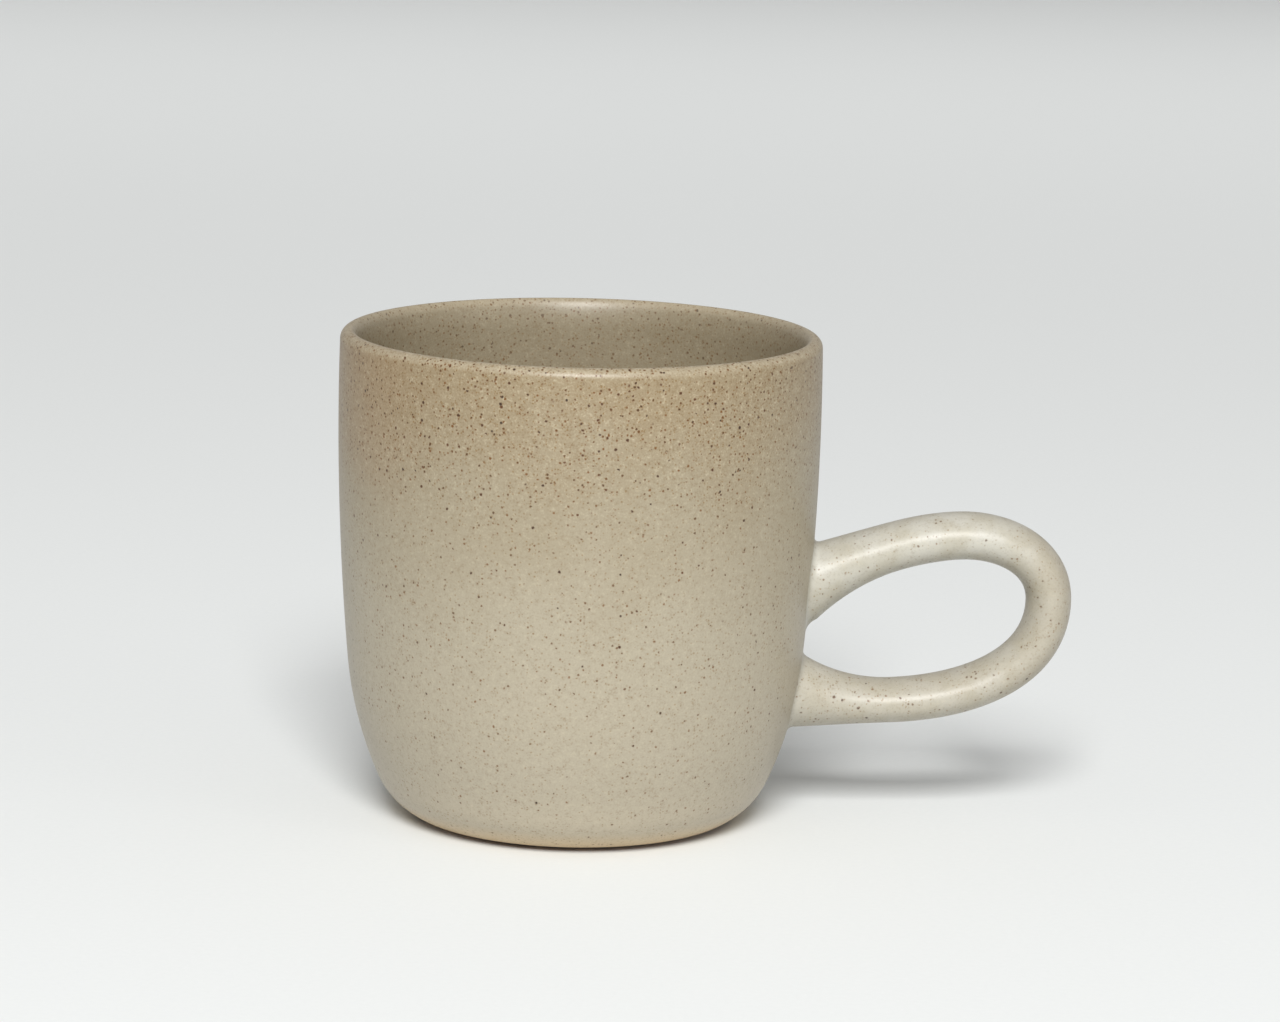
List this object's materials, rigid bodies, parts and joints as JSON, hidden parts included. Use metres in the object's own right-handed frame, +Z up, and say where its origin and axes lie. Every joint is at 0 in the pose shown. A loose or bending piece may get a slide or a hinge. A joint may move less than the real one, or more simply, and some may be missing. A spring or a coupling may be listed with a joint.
{
  "type": "cappuccino cup",
  "caption": "Stoneware cappuccino cup with a pulled loop handle, speckled satin glaze inside and out, and a bare flat base to stand on.",
  "frame": {"origin": "the middle of the base, on the surface that the cup stands on", "axes": "+Z up along the cup's axis, +X toward the handle, +Y across"},
  "size_m": [0.1319, 0.086, 0.0877],
  "materials": {
    "stoneware": "bare fired clay, matt",
    "slip": "fired slip, matt",
    "speckled_glaze": "satin oatmeal glaze with iron speckle"
  },
  "bodies": {
    "root": {"cup_body": "stoneware", "handle": "stoneware", "upper_slip_joint": "slip", "lower_slip_joint": "slip", "outer_glaze": "speckled_glaze", "liner_glaze": "speckled_glaze", "handle_glaze": "speckled_glaze"}
  },
  "joints": []
}
